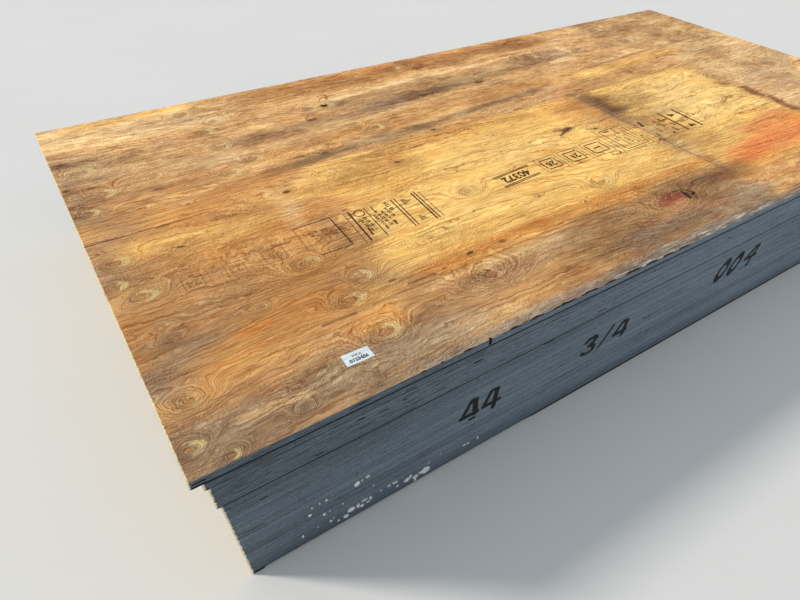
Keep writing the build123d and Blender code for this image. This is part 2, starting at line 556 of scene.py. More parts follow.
# strokes: tone, from (along, away), to (along, away), half width, softness, strength
toneStrokes = [
    ("brightGold", 560, 300, 860, 330, 60, 60, 0.6), ("brightGold", 940, 520, 1240, 470, 90, 70, 0.6),
    ("brightGold", 560, 420, 760, 430, 45, 50, 0.5), ("brightGold", 1000, 330, 1380, 330, 40, 45, 0.35),
    ("brown", 500, 585, 720, 610, 38, 34, 0.65), ("brown", 455, 330, 462, 470, 26, 26, 0.45),
    ("greyTan", 452, 350, 470, 470, 20, 26, 0.5), ("orange", 500, 210, 860, 224, 18, 18, 0.75),
    ("orange", 860, 216, 1430, 222, 17, 18, 0.75), ("orange", 740, 640, 1000, 690, 22, 20, 0.35),
    ("grey", 463, 722, 913, 755, 18, 13, 0.8), ("grey", 913, 757, 1363, 790, 15, 13, 0.7),
    ("honey", 80, 770, 470, 790, 40, 40, 0.5), ("orange", 300, 700, 470, 715, 20, 25, 0.4),
    ("honey", 470, 800, 1650, 835, 24, 20, 0.5), ("greyTan", 430, 915, 913, 915, 34, 22, 0.75),
    ("grey", 863, 930, 1230, 955, 25, 16, 0.8), ("grey", 1230, 957, 1700, 985, 32, 22, 0.6),
    ("greyTan", 800, 1000, 1650, 1025, 34, 26, 0.6), ("paleTan", 530, 857, 913, 884, 6, 6, 0.7),
    ("paleTan", 913, 884, 1363, 909, 5, 6, 0.45), ("paleTan", 780, 1032, 1147, 1057, 8, 7, 0.7),
    ("paleTan", 1147, 1057, 1713, 1071, 8, 7, 0.7), ("paleTan", 1722, 1062, 1724, 968, 8, 7, 0.6),
    ("paleTan", 1593, 940, 1673, 942, 12, 9, 0.6), ("paleTan", 791, 666, 947, 667, 4, 4, 0.6),
    ("paleTan", 1733, 868, 1973, 886, 8, 7, 0.6), ("gold", 1640, 806, 2080, 822, 26, 22, 0.85),
    ("brown", 600, 1150, 1650, 1150, 48, 26, 0.75), ("orange", 640, 1185, 1600, 1190, 18, 16, 0.4),
    ("paleTan", 60, 1150, 390, 1115, 56, 50, 0.75), ("gold", 110, 1195, 420, 1195, 22, 18, 0.6),
    ("brown", 420, 1205, 620, 1200, 20, 20, 0.5), ("tan", 0, 960, 300, 930, 60, 60, 0.5),
    ("umber", 1476, 690, 1490, 560, 22, 34, 0.75), ("umber", 1500, 640, 1600, 580, 24, 44, 0.5),
    ("umber", 1472, 560, 1482, 400, 14, 30, 0.6), ("brown", 1400, 640, 1424, 470, 24, 40, 0.4),
    ("brown", 1560, 480, 1640, 640, 30, 50, 0.45), ("orange", 1480, 150, 1660, 185, 40, 40, 0.6),
    ("coral", 1590, 180, 1900, 222, 46, 44, 0.85), ("coral", 1720, 270, 1890, 300, 26, 34, 0.7),
    ("brown", 1500, 250, 1560, 300, 26, 40, 0.35), ("rust", 1994, 474, 1986, 436, 10, 8, 0.85),
    ("rust", 1976, 428, 1984, 402, 9, 8, 0.8), ("rust", 1996, 382, 1984, 344, 10, 8, 0.85),
    ("rust", 1974, 330, 1984, 284, 8, 8, 0.85), ("brown", 1952, 540, 1966, 520, 10, 10, 0.6),
    ("greyTan", 1460, 320, 1530, 470, 34, 40, 0.5), ("slate", 1449, 150, 1449, 680, 8, 10, 0.4),
    ("paleTan", 1178, 145, 1228, 145, 28, 8, 0.35), ("brown", 1166, 150, 1240, 142, 32, 18, 0.5),
    ("knotRed", 1174, 139, 1206, 146, 18, 9, 0.95), ("knotRed", 1204, 152, 1238, 140, 15, 8, 0.95),
    ("rust", 1196, 150, 1232, 150, 7, 8, 0.6), ("brown", 1985, 500, 1982, 280, 12, 16, 0.25),
    ("umber", 1255, 118, 1268, 148, 6, 8, 0.7), ("greyTan", 10, 40, 420, 50, 60, 50, 0.75),
    ("slate", 20, 190, 60, 260, 34, 40, 0.7), ("greyTan", 60, 110, 260, 130, 40, 40, 0.5),
    ("paleTan", 60, 30, 320, 62, 16, 26, 0.5), ("paleTan", 300, 70, 620, 40, 16, 24, 0.35),
    ("orange", 180, 235, 218, 234, 10, 7, 0.8), ("brown", 20, 600, 380, 575, 26, 40, 0.5),
    ("brown", 120, 500, 420, 520, 40, 40, 0.4), ("greyTan", 60, 480, 110, 340, 70, 60, 0.6),
    ("slate", 10, 780, 40, 1000, 34, 50, 0.55), ("slate", 20, 500, 60, 720, 26, 50, 0.4),
    ("greyTan", 80, 900, 330, 860, 60, 60, 0.4), ("greyTan", 130, 300, 330, 420, 50, 50, 0.35),
    ("gold", 120, 560, 300, 545, 26, 30, 0.5), ("paleTan", 402, 490, 420, 640, 12, 12, 0.5),
    ("greyTan", 2150, 500, 2440, 640, 60, 80, 0.4), ("greyTan", 2180, 200, 2190, 1000, 20, 30, 0.4),
    ("brown", 1480, 760, 1640, 730, 22, 20, 0.5), ("slate", 600, 120, 850, 150, 26, 30, 0.35),
    ("umber", 1000, 180, 1330, 176, 12, 22, 0.35), ("umber", 1300, 176, 1470, 162, 20, 28, 0.5),
    ("umber", 1380, 150, 1480, 120, 16, 28, 0.55), ("slate", 1000, 60, 1430, 60, 26, 26, 0.5),
    ("paleTan", 560, 170, 850, 168, 9, 10, 0.5), ("coral", 1120, 96, 1300, 78, 12, 22, 0.2),
    ("rust", 1205, 514, 1262, 536, 4, 4, 0.8), ("rust", 1212, 545, 1262, 538, 5, 4, 0.8),
    ("rust", 1238, 532, 1260, 537, 9, 5, 0.9), ("umber", 1246, 528, 1264, 537, 4, 4, 0.6),
    ("brown", 620, 676, 1180, 676, 24, 26, 0.4), ("umber", 1468, 676, 1474, 545, 13, 14, 0.65),
    ("umber", 1470, 560, 1560, 540, 10, 26, 0.35), ("umber", 1470, 640, 1520, 560, 26, 34, 0.25),
    ("brown", 500, 830, 1400, 848, 30, 26, 0.35), ("rust", 468, 224, 500, 206, 3, 5, 0.6),
    ("rust", 498, 200, 552, 200, 4, 5, 0.6), ("orange", 470, 210, 560, 214, 12, 12, 0.6),
    ("slate", 100, 36, 430, 56, 56, 50, 0.5), ("grey", 160, 20, 420, 24, 26, 30, 0.4),
    ("grey", 880, 925, 1160, 950, 20, 16, 0.4), ("umber", 10, 20, 120, 30, 30, 40, 0.3),
    ("paleTan", 120, 62, 200, 58, 10, 12, 0.5), ("gold", 440, 620, 560, 560, 40, 60, 0.6),
    ("orange", 420, 520, 520, 500, 30, 40, 0.3), ("gold", 470, 220, 560, 300, 30, 40, 0.7),
    ("greyTan", 440, 290, 520, 180, 26, 34, 0.55),
]

# each kind of knot: the radius of the ringed grain round it, the core's share of that, redness, darkness
# and how hard it pushes the grain aside
knotKinds = {
    "ringed": (36, 0.25, 0.25, 0.0, 1.0),
    "pin": (14, 0.25, 0.2, 0.2, 0.5),
    "red": (36, 0.34, 1.0, 0.3, 0.55),
    "dark": (32, 0.36, 0.8, 0.8, 0.5),
    "speck": (9, 0.3, 0.4, 0.6, 0.25),
    "rosy": (52, 0.2, 0.6, 0.0, 0.9),
    "eddy": (60, 0.04, 1.0, 0.0, 0.95),
}
# each knot: along, away and, where it isn't 1, its size
knots = {
    "ringed": [
        (357, 355), (375, 215), (382, 110, 1.1), (428, 267, 0.85), (48, 140, 0.8), (19, 51, 0.75), (66, 12, 0.5),
        (39, 544, 0.9), (19, 469, 0.85), (57, 421, 0.9), (1108, 278, 1.1), (800, 412, 0.8), (425, 1062),
        (380, 1010, 0.9), (390, 909), (367, 1146, 0.9), (433, 809, 0.9), (362, 770, 0.9), (696, 1009, 0.9),
        (790, 809, 0.9), (59, 940), (75, 820), (33, 751, 0.9), (1119, 1069, 0.9), (1561, 1022), (1074, 1158, 0.9),
        (2010, 977, 1.1), (2253, 1020), (2303, 960, 0.8), (2320, 887, 0.9), (2000, 1127, 1.1), (1993, 587, 1.1),
        (2293, 560, 1.1), (2253, 470), (742, 1010, 0.9),
    ],
    "rosy": [
        (648, 142),
    ],
    "pin": [
        (66, 283), (230, 280), (314, 17, 0.7), (194, 33, 0.9), (196, 437, 0.9), (594, 146, 0.8), (201, 835),
        (1289, 57), (1491, 902),
    ],
    "eddy": [
        (1192, 136),
    ],
    "red": [
        (1250, 534, 0.4), (1324, 499, 0.35), (737, 612, 0.45), (739, 215, 0.5), (655, 215, 0.35), (664, 938, 0.8),
        (601, 746, 0.55), (1252, 930, 0.95), (1405, 402, 0.3),
    ],
    "dark": [
        (924, 719, 0.5), (12, 872, 0.5), (438, 622, 0.5),
    ],
    "speck": [
        (166, 535, 1.3), (253, 537), (233, 1080), (180, 967), (456, 877), (340, 927, 0.8), (230, 685), (543, 664),
        (454, 664, 0.8), (604, 825), (406, 1175), (1010, 236), (934, 310, 1.1), (1000, 525, 0.9), (1047, 610, 0.9),
        (938, 1074), (1019, 1027), (969, 977), (1002, 922), (1419, 958), (1280, 805), (1558, 827), (1252, 749, 0.9),
        (1255, 705, 0.9), (847, 716, 0.9), (788, 674, 0.8), (969, 683, 0.8), (1010, 636, 0.8), (1533, 644),
        (1653, 790), (1747, 830),
    ],
}

# each thin mark: from and to along and away, half width, darkness; a negative darkness is a pale mark
faceMarks = [
    (1437, 183, 1440, 704, 2.2, 0.55), (1424, 205, 1427, 700, 1.6, 0.22), (405, 184, 1430, 199, 2.5, 0.35),
    (1460, 703, 1967, 703, 2.2, 0.35), (2180, 60, 2183, 1160, 2.0, 0.22), (1640, 850, 2233, 883, 2.2, 0.5),
    (300, 180, 365, 180, 3.0, 0.6), (494, 199, 554, 199, 2.2, 0.75), (466, 223, 478, 225, 2.5, 0.8),
    (575, 203, 582, 203, 2.2, 0.7), (648, 216, 662, 218, 2.5, 0.8), (1960, 800, 1976, 801, 1.8, 0.9),
    (1951, 517, 1987, 472, 1.8, 0.6), (1965, 112, 1969, 700, 1.2, 0.3), (1208, 515, 1236, 530, 3.0, 0.75),
    (1300, 508, 1330, 498, 3.0, 0.7), (150, 541, 172, 533, 2.5, 0.8), (1433, 320, 1507, 320, 1.6, -0.25),
    (575, 764, 590, 752, 3.0, 0.7), (4, 631, 140, 631, 1.0, 0.5), (1224, 160, 1256, 156, 2.6, 0.85),
    (1256, 156, 1270, 132, 3.0, 0.85), (1236, 150, 1252, 140, 1.6, 0.7), (600, 300, 640, 296, 1.0, 0.3),
    (1090, 372, 1160, 378, 1.0, 0.3),
]

faceTones = {
    "glint": (255, 232, 186),
    # painted highlight and painted shade for the crescents beside the knots
    "paintedKnotLight": (255, 228, 160),
    "paintedKnotShade": (112, 80, 52),
    "corePale": (204, 148, 92),
    "coreRed": (132, 56, 30),
    "coreDark": (40, 24, 19),
    "coreRim": (92, 50, 26),
    "crack": (62, 34, 24),
    "paleMark": (240, 218, 176),
    "frayGrey": (128, 122, 116),
    "frayPale": (222, 214, 200),
    "frayDark": (48, 42, 38),
    # pale: partly worn arris, partly a painted highlight of the sunlit left end
    "wornArrisAndHighlight": (255, 242, 200),
}


def eachKnot():
    for kind, spots in knots.items():
        for along, away, *size in spots:
            yield kind, along, away, knotKinds[kind][0] * (size[0] if size else 1)


def facePainter(piece):
    # the face's tones and knots are kept on the mesh's own points
    along, away = spotsOnFace(piece)
    count = len(along)
    drift = np.array([(wave(a * 0.006, b * 0.014, 3.1), wave(a * 0.006, b * 0.02, 9.7)) for a, b in zip(along, away)])
    driftX, driftY = drift.T
    colours = np.ones((count, 4))
    greyness = np.zeros(count)

    def brush(name, share):
        shade, weather = woodTones[name]
        colours[:, :3] += (np.array(tone(*shade)[:3]) - colours[:, :3]) * share[:, None]
        greyness[:] += (weather - greyness) * share

    for name, x0, x1, y0, y1, soft, strength, *leftSoft in toneAreas:
        entry = leftSoft[0] if leftSoft else soft
        a = along + driftX * min(soft, 40)
        b = away + driftY * min(soft, 40) * 0.6
        share = smoothstep(a, x0 - entry, x0 + entry) * (1 - smoothstep(a, x1 - soft, x1 + soft))
        share *= smoothstep(b, y0 - soft, y0 + soft) * (1 - smoothstep(b, y1 - soft, y1 + soft))
        brush(name, share * strength)
    for name, x0, y0, x1, y1, half, soft, strength in toneStrokes:
        length = math.hypot(x1 - x0, y1 - y0)
        aheadX, aheadY = (x1 - x0) / length, (y1 - y0) / length
        onward = np.clip((along - x0) * aheadX + (away - y0) * aheadY, 0, length)
        acrossX = along + driftX * soft * 1.5 - x0 - onward * aheadX
        acrossY = away + driftY * soft * 0.8 - y0 - onward * aheadY
        gap = np.hypot(acrossX * 0.6, acrossY)
        brush(name, (1 - smoothstep(gap, half - soft, half + soft)) * strength)

    unreached = 9.0  # radii
    knotPlace = np.zeros((count, 3))
    knotPlace[:, 0] = unreached
    knotLook = np.zeros((count, 3))
    nearest = np.full(count, unreached)
    second = np.full(count, unreached)
    for kind, x, y, radius in eachKnot():
        core, red, dark, force = knotKinds[kind][1:]
        offset = np.stack([(along - x) / radius, (away - y) / radius], 1)
        distance = np.hypot(offset[:, 0], offset[:, 1])
        owned = distance < nearest
        second = np.where(owned, nearest, np.minimum(second, distance))
        nearest[owned] = distance[owned]
        knotPlace[owned, :2] = offset[owned]
        knotPlace[owned, 2] = force
        knotLook[owned] = (core, red, dark)
    # the pull of a knot dies away before the next knot's begins
    knotPlace[:, 2] *= smoothstep(second - nearest, 0.25, 0.9) * (1 - smoothstep(nearest, 2.2, 2.8))
    keepLayer(piece, "faceTone", "FLOAT_COLOR", colours)
    keepLayer(piece, "knotPlace", "FLOAT_VECTOR", knotPlace)
    keepLayer(piece, "knotLook", "FLOAT_VECTOR", knotLook)
    keepLayer(piece, "faceWeather", "FLOAT", greyness)


def knotHeights(piece):
    # a low ring stands round each knot's core
    along, away = spotsOnFace(piece)
    height = np.zeros(len(along))
    for kind, x, y, radius in eachKnot():
        distance = np.hypot(along - x, away - y) / radius
        share = 0.3 if kind == "speck" else 1.0
        height = np.maximum(height, np.exp(-(((distance - 0.62) / 0.28) ** 2)) * share)
    return height


def weatheredVeneer():
    finish = Finish("weatheredVeneer", faceTones)
    grain, fade, hump, bell, coat = finish.grain, finish.fade, finish.hump, finish.bell, finish.coat
    x, y = finish.parts(finish.place)[:2]
    along, away = (x - cornerX) * toMm, (y - cornerY) * toMm
    weather = finish.painted("faceWeather", "Fac")
    knotX, knotY, knotForce = finish.parts(finish.painted("knotPlace", "Vector"))
    coreSize, redness, darkness = finish.parts(finish.painted("knotLook", "Vector"))
    wobble = grain((60, 80), 3, 0.55)
    sway = grain((18, 36, 7), 2, 0.5)
    nick = grain((230, 230), 2, 0.5)

    # distance from the nearest knot, in its own radii
    small = fade(knotForce, 0.6, 0.2)
    far = finish.length(finish.point(
        knotX * (0.8 - small * 0.2) + sway.swing(0.6) + nick.swing(1.6) * small,
        knotY * (1.25 + small * 0.35) + wobble.swing(0.45) + nick.swing(2.4) * small))

    # the grain runs along the level lines of a long smooth swell, pushed up round every knot
    broad = grain((0.42, 2.2), 2, 0.4)
    middle = grain((3.2, 13), 3, 0.5)
    push = bell(far, 0.8) * knotForce * 7.0
    level = broad * 36.0 + away * 0.068 + middle * 5.0 + push + wobble * 0.9 + sway * 1.2
    lane = finish.point(x * 3.6, level)
    streaks = grain((1, 1), 3, 0.6, of=lane)
    lesser = grain((2.2, 2.6), 3, 0.65, of=lane)
    fine = grain((6, 7.5), 2, 0.6, of=lane)
    patchy = grain((5, 13), 2, 0.5)

    # growth lines, each with its own strength
    growth = level * 1.15
    ring, ringTone = finish.maths("FRACT", growth), finish.eachTone(growth)
    faint = hump(ring, 0.5, 0.86, 0.88, 1.0) * (0.2 + ringTone * 0.8)
    thin = hump(ring, 0.72, 0.88, 0.92, 1.0) * (0.25 + ringTone * 0.75)
    bold = thin * fade(ringTone, 0.6, 0.9) * fade(patchy, 0.44, 0.58)

    # rings round the knots
    blotchRough = grain((11, 19), 2, 0.6)
    ringPhase = finish.maths("PINGPONG", far * 5.5 + wobble * 3.2 + sway * 2.4 + nick, 0.5) * 2.0
    knotRings = fade(ringPhase, 0.2, 0.8)
    rings = (knotRings - 0.4) * bell(far, 1.1) * fade(knotForce, 0.25, 0.6)
    rings = rings * fade(middle + blotchRough.swing(0.6), 0.3, 0.5)
    ringLines = fade(ringPhase, 0.7, 0.95) * bell(far, 0.9) * fade(knotForce, 0.3, 0.7)
    halo = bell(far, 1.3) * knotForce

    fibres = grain((12, 520), 3, 0.62)
    hairs = grain((24, 1300), 2, 0.6)
    blotch = grain((5, 14), 4, 0.62)
    mottle = grain((32, 85), 3, 0.65)
    scales = grain((85, 120), 2, 0.55, 1.2)
    scaly = fade(grain((4, 9), 2, 0.5) + weather * 0.1, 0.42, 0.62)
    checks = fade(grain((16, 420), 3, 0.6), 0.6, 0.7) * fade(patchy, 0.36, 0.6)
    farPart = fade(away, 660, 800)  # the rougher far third of the face

    shade = 1.11 + streaks.swing(0.75) + lesser.swing(1.2) + fine.swing(1.4)
    shade = shade + blotch.swing(0.85 + weather * 1.5 + farPart * 0.9) + mottle.swing(0.5 + farPart * 0.9)
    shade = shade + fibres.swing(0.8) + scales.swing(0.5) * scaly - rings * 0.34 + halo * 0.1
    shade = finish.most(shade * (1.0 - fade(hairs, 0.58, 0.78) * 0.22 - checks * 0.3), 0.12)
    finish.colour = finish.painted("faceTone", "Color")
    finish.times(finish.point(shade, finish.maths("POWER", shade, 1.28), finish.maths("POWER", shade, 1.45)))
    for tint, share in (
        ((1.0, 0.8, 0.55), fade(grain((7, 24), 3, 0.6), 0.48, 0.68) * 0.35),
        ((1.04, 0.78, 0.52), fade(grain((0.7, 1.5), 3, 0.6, of=lane), 0.5, 0.7) * 0.55),
        ((0.92, 0.95, 1.16), fade(grain((3, 8), 3, 0.6), 0.5, 0.7) * 0.6),
        ((0.85, 0.68, 0.46), faint * 0.55),
        ((0.5, 0.34, 0.22), thin * 0.7 + bold * 0.3),
        ((0.52, 0.38, 0.26), ringLines * 0.6),
    ):
        finish.times(tint, share)
    coat("glint", fade(fine + fibres.swing(0.6), 0.58, 0.78) * (0.26 + halo * 0.5))

    # knots: a painted highlight as a pale crescent on one side and painted shade on the other, the core with its own
    # rings, and a dark rim
    shown = fade(knotForce, 0.12, 0.2)
    sideways = knotX / finish.most(far, 0.1)
    paintedKnotLight = hump(far, 0.3, 0.48, 0.6, 0.85) * shown * fade(knotForce, 0.4, 0.7)
    paintedKnotLight = paintedKnotLight * fade(redness, 0.5, 0.28) * (0.55 + (1 - knotRings) * 0.45)
    coat("paintedKnotLight", paintedKnotLight * fade(sideways + wobble.swing(2.0), -0.1, 0.9) * fade(blotchRough, 0.28, 0.5) * 0.74)
    coat("paintedKnotShade", paintedKnotLight * fade(sideways + sway.swing(1.0), -0.2, -0.9) * 0.4)
    share = far / finish.most(coreSize, 0.05)
    core = fade(share, 1.2, 0.65) * shown
    coreRings = finish.maths("PINGPONG", share * 2.2 + wobble, 0.5)
    coreTone = finish.blend("corePale", "coreRed", redness * (0.5 + coreRings))
    coreTone = finish.blend(coreTone, "coreDark", darkness * fade(mottle + (1 - share) * 0.35, 0.3, 0.7))
    coat(coreTone, core * (0.5 + redness * 0.25 + darkness * 0.3))
    coreRim = hump(share, 0.6, 1.0, 1.05, 1.5) * shown
    coat("coreRim", coreRim * (0.2 + redness * 0.25 + darkness * 0.15))

    # thin dark and pale marks
    flat = finish.point(along, away)
    cracks, paleMarks = [], []
    for *ends, half, strength in faceMarks:
        mark = fade(finish.strokeGap(flat, *ends) + wobble.swing(5.0), half + 1.6, half * 0.3) * abs(strength)
        (paleMarks if strength < 0 else cracks).append(mark)
    ink = finish.most(*cracks)
    coat("crack", ink * (0.42 + mottle))
    coat("paleMark", finish.most(*paleMarks))
    # the near edge is frayed and grey, most of all in its middle
    middlePart = hump(along, 700, 950, 1300, 1500)
    reachIn = away + sway.swing(50.0) + wobble.swing(30.0) - middlePart * 8.0
    frayed = fade(reachIn, 24, 2) * fade(along, 200, 550)
    fray = grain((26, 320), 3, 0.6)
    coat("frayGrey", frayed * (0.3 + middlePart * 0.3))
    coat("frayPale", frayed * fade(fray, 0.53, 0.66) * (0.34 + middlePart * 0.56))
    coat("frayDark", frayed * fade(fray, 0.44, 0.34) * 0.7)
    # and the left end's arris is pale: partly worn, partly a painted highlight of the sunlit left end
    coat("wornArrisAndHighlight", fade(along + nick.swing(3.0), 3.2, 1.5) * 0.9)

    relief = fibres * (0.18 + weather * 0.2) + lesser * 0.5 + fine * 0.2 + hairs * 0.08 + scales * (0.22 + scaly)
    relief = relief + mottle * 0.35 + rings * 0.36 + faint * 0.14
    relief = relief - core * 0.2 - ink * 0.3 - thin * 0.22 - checks * 0.15
    return finish.surface(0.7 + weather * 0.12 + fibres.swing(0.2), relief, 0.0034, specular=0.2)


# Shaping the sheets

overcut = 0.002  # how far a cutter stands out of the face that it opens
sheetShape = {
    "grid": (101, 101),  # how many lengths a lower sheet's long and short edges are in
    "arris": 0.0005,
    "faceRecess": 0.00005,
    "crossRecess": 0.00032,  # the end grain of the cross plies stands back
    "step": 0.00012,
    "roughness": 0.00042,
    "roughShares": (0.8, 0.15),  # of the roughness, on the cross plies and on the others
    "sideReach": 0.002,  # what is this near the outline belongs to the sides
    "level": 0.0002,  # what is this near a face's height belongs to the face
    "cloudSize": (0.022, 0.022, 0.0027),
    "knockedBack": 0.0014,
    "rimWidth": 0.0009,
    "openDepth": 0.0016,  # below the top face, what is still taken as part of it
    "cutRoughness": 0.0002,
    "clearance": 0.0001,  # a gap's cutter stays this far inside its ply
}


def edgeRows():
    # heights and insets from the underside up: arris, seven plies, arris
    arris, step = sheetShape["arris"], sheetShape["step"]
    recess = [sheetShape["crossRecess"] if ply % 2 else sheetShape["faceRecess"] for ply in range(plyCount)]
    rows = [(0.0, arris), (arris, recess[0])]
    for ply in range(1, plyCount):
        rows += [(ply * plyThickness - step, recess[ply - 1]), (ply * plyThickness + step, recess[ply])]
    return rows + [(sheetThickness - arris, recess[-1]), (sheetThickness, arris)]


def roughenEdges(piece, seed):
    # the sides are pushed in a little and unevenly, most on the cross plies
    places, low, high = placesInBox(piece)
    cross = (np.floor((places[:, 2] - low[2]) / plyThickness) % 2).astype(bool)
    rim = fromRim(places, low, high) < sheetShape["sideReach"]
    group = piece.vertex_groups.new(name="sides")
    for mask, weight in zip((rim & cross, rim & ~cross), sheetShape["roughShares"]):
        group.add([int(i) for i in np.nonzero(mask)[0]], weight, "REPLACE")
    cloud = bpy.data.textures.new("edgeCloud", "CLOUDS")
    cloud.noise_scale = 1.0
    cloud.noise_depth = 2
    guide = bpy.data.objects.new("edgeGuide", None)
    bpy.context.scene.collection.objects.link(guide)
    guide.location = (seed * 1.37, seed * 0.71, 0)
    guide.scale = sheetShape["cloudSize"]
    bpy.context.view_layer.update()
    applyModifier(piece, "DISPLACE", texture=cloud, texture_coords="OBJECT", texture_coords_object=guide,
                  vertex_group="sides", strength=sheetShape["roughness"], mid_level=1.0)
    piece.vertex_groups.clear()
    bpy.data.objects.remove(guide)


def knockBackRim(piece, depth):
    # the upper rim of a sheet stands further in, so that its joint shows as a dark gap
    places, low, high = placesInBox(piece)
    choose(piece)
    editing()
    bpy.ops.mesh.select_mode(type="VERT")
    selectMesh(False)
    editing(False)
    piece.data.vertices.foreach_set("select", places[:, 2] > high[2] - sheetShape["level"])
    editing()
    spans = high - low
    bpy.ops.transform.resize(value=(1 - 2 * depth / spans[0], 1 - 2 * depth / spans[1], 1),
                             center_override=list((low + high) / 2))
    editing(False)


def cut(piece, cutters):
    choose(*cutters)
    if len(cutters) > 1:
        bpy.ops.object.join()
    tool = bpy.context.object
    tool.data.materials.clear()
    tool.data.materials.append(tornFinish)
    applyModifier(piece, "BOOLEAN", object=tool, operation="DIFFERENCE", solver="EXACT", material_mode="TRANSFER")
    bpy.data.objects.remove(tool)


def prism(corners, low, high, roughness=0.0, seed=0):
    # an upright block on the given outline, its sides broken up by the roughness
    choose()
    bpy.ops.mesh.primitive_circle_add(vertices=len(corners), radius=1, fill_type="NGON")
    block = bpy.context.object
    for point, (px, py) in zip(block.data.vertices, corners):
        point.co = (px, py, low)
    editing()
    selectMesh()
    extrudeUp(high - low)
    selectMesh()
    if roughness:
        bpy.ops.transform.vertex_random(offset=roughness, uniform=0.3, normal=0.0, seed=seed)
    closeShape()
    return block


def plyVoid(low, high, middle, ply, length, outline, seed):
    # a gap in one ply: its middle from the left end, the ply down from the upper face, its length
    top = high.z - (ply - 1) * plyThickness
    corners = [(low.x + (middle + share * length / 2) * mm, low.y + depth * mm) for share, depth in outline]
    clearance = sheetShape["clearance"]
    return prism(corners, top - plyThickness + clearance, top - clearance, sheetShape["cutRoughness"], seed)


def dressFaces(piece, faceDepth):
    # slot 0 is the painted edge, 1 the broad faces, 3 the left end; faces made by a cutter keep their own
    faces = piece.data.polygons
    normals, centres = readAll(faces, "normal"), readAll(faces, "center")
    slots = readAll(faces, "material_index", np.int32, 1)[:, 0]
    places, low, high = placesInBox(piece)
    level = (centres[:, 2] < low[2] + sheetShape["level"]) | (centres[:, 2] > high[2] - faceDepth)
    broad = (np.abs(normals[:, 2]) > 0.8) & (fromRim(centres, low, high) > sheetShape["rimWidth"]) & level
    leftEnd = (normals[:, 0] < -0.5) & (centres[:, 0] < low[0] + sheetShape["sideReach"])
    slots = np.where(slots > 1, slots, np.where(broad, 1, np.where(leftEnd, 3, 0))).astype(np.int32)
    faces.foreach_set("material_index", slots)
    keepLayer(piece, "fromLeft", "FLOAT", places[:, 0] - low[0])


def blankSheet(low, high, start, grid, rows, keepGrid=False):
    # a grid, extruded through the rows of heights and insets; only a kept grid's points stay on the first face
    length, width = high.x - low.x, high.y - low.y
    choose()
    bpy.ops.mesh.primitive_grid_add(x_subdivisions=grid[0], y_subdivisions=grid[1], size=1, location=start)
    piece = bpy.context.object
    editing()
    selectMesh()
    heightNow, insetNow = rows[0]
    bpy.ops.transform.resize(value=(length - 2 * insetNow, width - 2 * insetNow, 1))
    if not keepGrid:
        bpy.ops.mesh.dissolve_faces()
    for index, (height, inset) in enumerate(rows[1:]):
        extrudeUp(height - heightNow)
        if keepGrid and index == 0:
            bpy.ops.mesh.dissolve_faces()
        grow = [(side - 2 * inset) / (side - 2 * insetNow) for side in (length, width)]
        bpy.ops.transform.resize(value=(*grow, 1), center_override=start)
        heightNow, insetNow = height, inset
    closeShape()
    return piece


plainFinish = plainVeneer()
tornFinish = tornVeneer()
endFinish = bareEnd()
edgeFinishes = {
    "plain": paintedEdge("paintedEdge", False, False),
    "stencil": paintedEdge("paintedEdgeStencilled", True, False),
    "both": paintedEdge("paintedEdgeStencilledSpattered", True, True),
    "spatter": paintedEdge("paintedEdgeSpattered", False, True),
}
print("finishes are made")

lowerSheets = {
    # the finish of each level down from the top sheet
    "finishes": ["plain"] * 6 + ["stencil"] * 5 + ["both"] + ["spatter"] * 6,
    # gaps of the cross plies, open on the near side: by level, the middle from the sheet's left end,
    # the ply down from its upper face, the length
    "voids": {
        2: [(248, 4, 14), (332, 6, 9), (487, 4, 20), (1222, 4, 16)],
        4: [(169, 4, 15), (811, 2, 22)],
        5: [(662, 2, 30)],
        6: [(62, 6, 12)],
        10: [(30, 4, 35), (985, 2, 25), (1365, 4, 50)],
        13: [(1006, 2, 18)],
    },
    # a gap's outline: share of its half length, and mm in from the near edge
    "voidOutline": [(-1, -2), (1, -2), (0.9, 12), (0.4, 28), (-0.5, 25), (-0.95, 9)],
    "torn": {"start": 23, "length": 640, "depth": 16, "plies": 2, "steps": 60, "seed": 4},
}


def tornStrip(low):
    # what is broken away under the bottom sheet's near edge
    torn = lowerSheets["torn"]
    points = []
    for step in range(torn["steps"] + 1):
        share = step / torn["steps"]
        ragged = wave(step * 0.9, 5.2, 0) * 0.35 + 0.78 + 0.18 * math.sin(share * 9)
        depth = torn["depth"] * mm * ragged * min(1, share * 40 + 0.3) * min(1, (1 - share) * 3.2)
        points.append((low.x + (torn["start"] + share * torn["length"]) * mm, low.y + max(depth, 0.0003)))
    points += [(points[-1][0], low.y - overcut), (points[0][0], low.y - overcut)]
    height = torn["plies"] * plyThickness
    return prism(points, low.z - overcut, low.z + height, sheetShape["cutRoughness"], torn["seed"])


def lowerSheet(name, master):
    low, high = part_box(name)
    level = sheetCount - 1 - sheetNames.index(name)
    piece = bpy.data.objects.new(name + "_worn", master.data.copy())
    bpy.context.scene.collection.objects.link(piece)
    piece.location = ((low.x + high.x) / 2, (low.y + high.y) / 2, low.z)
    settle(piece, name + "_worn")
    if level in openJoints:
        knockBackRim(piece, sheetShape["knockedBack"])
    roughenEdges(piece, level + 1)
    for material in (edgeFinishes[lowerSheets["finishes"][level]], plainFinish, tornFinish, endFinish):
        piece.data.materials.append(material)
    cutters = [plyVoid(low, high, middle, ply, length, lowerSheets["voidOutline"], level * plyCount + ply)
               for middle, ply, length in lowerSheets["voids"].get(level, [])]
    if name == sheetNames[0]:
        cutters.append(tornStrip(low))
    if cutters:
        cut(piece, cutters)
    dressFaces(piece, sheetShape["level"])
    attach(piece, "root")
    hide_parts(name)


masterSheet = blankSheet(*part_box(sheetNames[0]), (0, 0, 0), sheetShape["grid"], edgeRows())
for sheetName in sheetNames[:-1]:
    lowerSheet(sheetName, masterSheet)
bpy.data.objects.remove(masterSheet)
print("lower sheets are made")


# The top sheet

